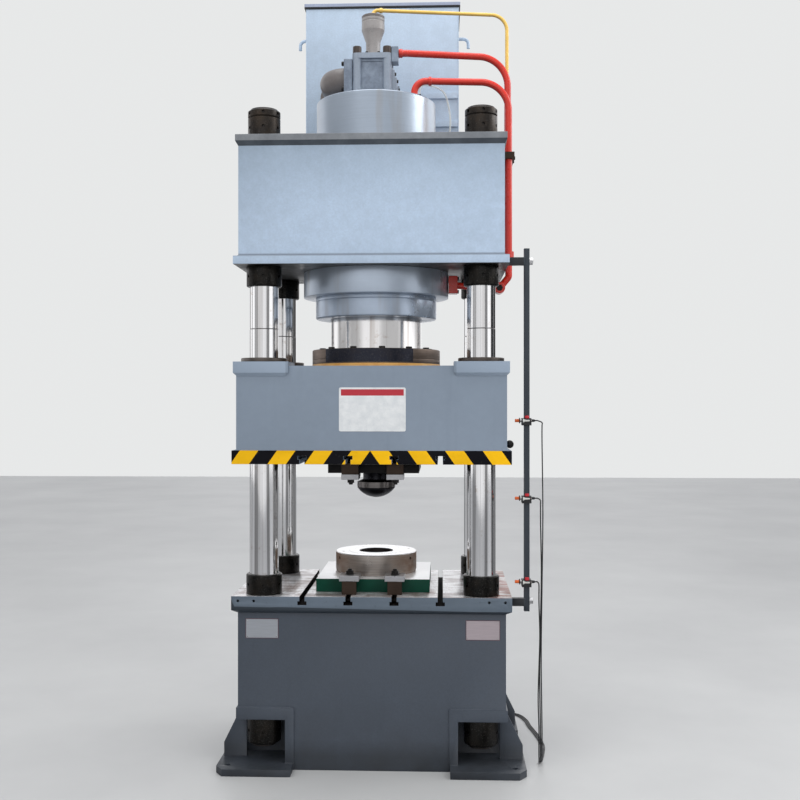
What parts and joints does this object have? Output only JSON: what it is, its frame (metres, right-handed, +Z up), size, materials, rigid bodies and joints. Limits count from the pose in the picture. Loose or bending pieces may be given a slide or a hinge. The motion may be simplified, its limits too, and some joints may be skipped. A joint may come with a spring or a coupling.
{
  "type": "hydraulic press",
  "caption": "Four-column hydraulic press with a welded base, T-slotted table, guided slide on a central down-acting ram, crown beam with fill valve and oil tank, and a draw punch and ring die.",
  "frame": {"origin": "on the floor, on the axis of the ram", "axes": "+Z up along the ram's axis, -Y towards the operator, +X to the operator's right"},
  "size_m": [1.1945, 0.886, 2.9386],
  "materials": {
    "base_paint": "dark blue-grey paint, dusty",
    "table_steel": "planed steel top with blue-grey painted edges",
    "chrome_steel": "ground and hard chromed",
    "black_oxide": "black oxide",
    "beam_paint": "blue-grey paint",
    "cylinder_paint": "light grey paint",
    "machined_steel": "turned and milled",
    "dark_steel": "dark oiled steel",
    "slide_paint": "blue-grey paint",
    "hazard_paint": "yellow with black chevrons",
    "bush_metal": "dull bronze",
    "green_paint": "green paint on the edges, machined top",
    "die_steel": "machined, with light rust",
    "valve_casting": "light grey paint on a casting",
    "elbow_paint": "dark grey paint",
    "tank_paint": "light blue-grey paint",
    "red_paint": "red gloss paint",
    "pilot_paint": "yellow paint",
    "clear_hose": "clear plastic",
    "rod_paint": "dark grey paint",
    "switch_plastic": "black moulded plastic",
    "cable_jacket": "black cable sheath"
  },
  "bodies": {
    "frame": {"base_frame": "base_paint", "table_plate": "table_steel", "column_fl": "chrome_steel", "column_fr": "chrome_steel", "column_rl": "chrome_steel", "column_rr": "chrome_steel", "base_nut_fl": "black_oxide", "base_nut_fr": "black_oxide", "base_nut_rl": "black_oxide", "base_nut_rr": "black_oxide", "table_nut_fl": "black_oxide", "table_nut_fr": "black_oxide", "table_nut_rl": "black_oxide", "table_nut_rr": "black_oxide", "beam_nut_fl": "black_oxide", "beam_nut_fr": "black_oxide", "beam_nut_rl": "black_oxide", "beam_nut_rr": "black_oxide", "crown_nut_fl": "black_oxide", "crown_nut_fr": "black_oxide", "crown_nut_rl": "black_oxide", "crown_nut_rr": "black_oxide", "top_beam": "beam_paint", "cylinder": "cylinder_paint", "gland_ring": "machined_steel", "lower_clamp_left": "machined_steel", "lower_clamp_right": "machined_steel", "die_plate": "green_paint", "ring_die": "die_steel", "valve_body": "valve_casting", "pilot_head": "valve_casting", "suction_elbow": "elbow_paint", "oil_tank": "tank_paint", "tank_lid": "tank_paint", "pressure_pipe": "red_paint", "return_pipe": "red_paint", "pilot_pipe": "pilot_paint", "pipe_clamp": "dark_steel", "drain_hose": "clear_hose", "limit_rod": "rod_paint", "cable_lower": "cable_jacket", "cable_middle": "cable_jacket", "cable_upper": "cable_jacket"},
    "slide": {"slide": "slide_paint", "slide_plate": "hazard_paint", "guide_bush_fl": "bush_metal", "guide_bush_fr": "bush_metal", "guide_bush_rl": "bush_metal", "guide_bush_rr": "bush_metal", "striker": "black_oxide", "ram": "chrome_steel", "ram_flange": "dark_steel", "adapter_plate": "black_oxide", "punch": "dark_steel", "upper_clamp_left": "machined_steel", "upper_clamp_right": "machined_steel"},
    "poppet": {"valve_poppet": "machined_steel"},
    "switch_lower": {"switch_lower": "switch_plastic"},
    "switch_middle": {"switch_middle": "switch_plastic"},
    "switch_upper": {"switch_upper": "switch_plastic"}
  },
  "joints": [
    {"name": "slide_travel", "type": "slide", "parent": "frame", "child": "slide", "axis": [0, 0, 1], "range_m": [-0.225, 0.1]},
    {"name": "poppet_lift", "type": "slide", "parent": "frame", "child": "poppet", "axis": [0, 0, 1], "range_m": [-0.018, 0], "stiffness_N_per_m": 4000, "springref_m": 0.006},
    {"name": "switch_lower_travel", "type": "slide", "parent": "frame", "child": "switch_lower", "axis": [0, 0, 1], "range_m": [-0.035, 0.11]},
    {"name": "switch_middle_travel", "type": "slide", "parent": "frame", "child": "switch_middle", "axis": [0, 0, 1], "range_m": [-0.12, 0.11]},
    {"name": "switch_upper_travel", "type": "slide", "parent": "frame", "child": "switch_upper", "axis": [0, 0, 1], "range_m": [-0.12, 0.4]}
  ]
}
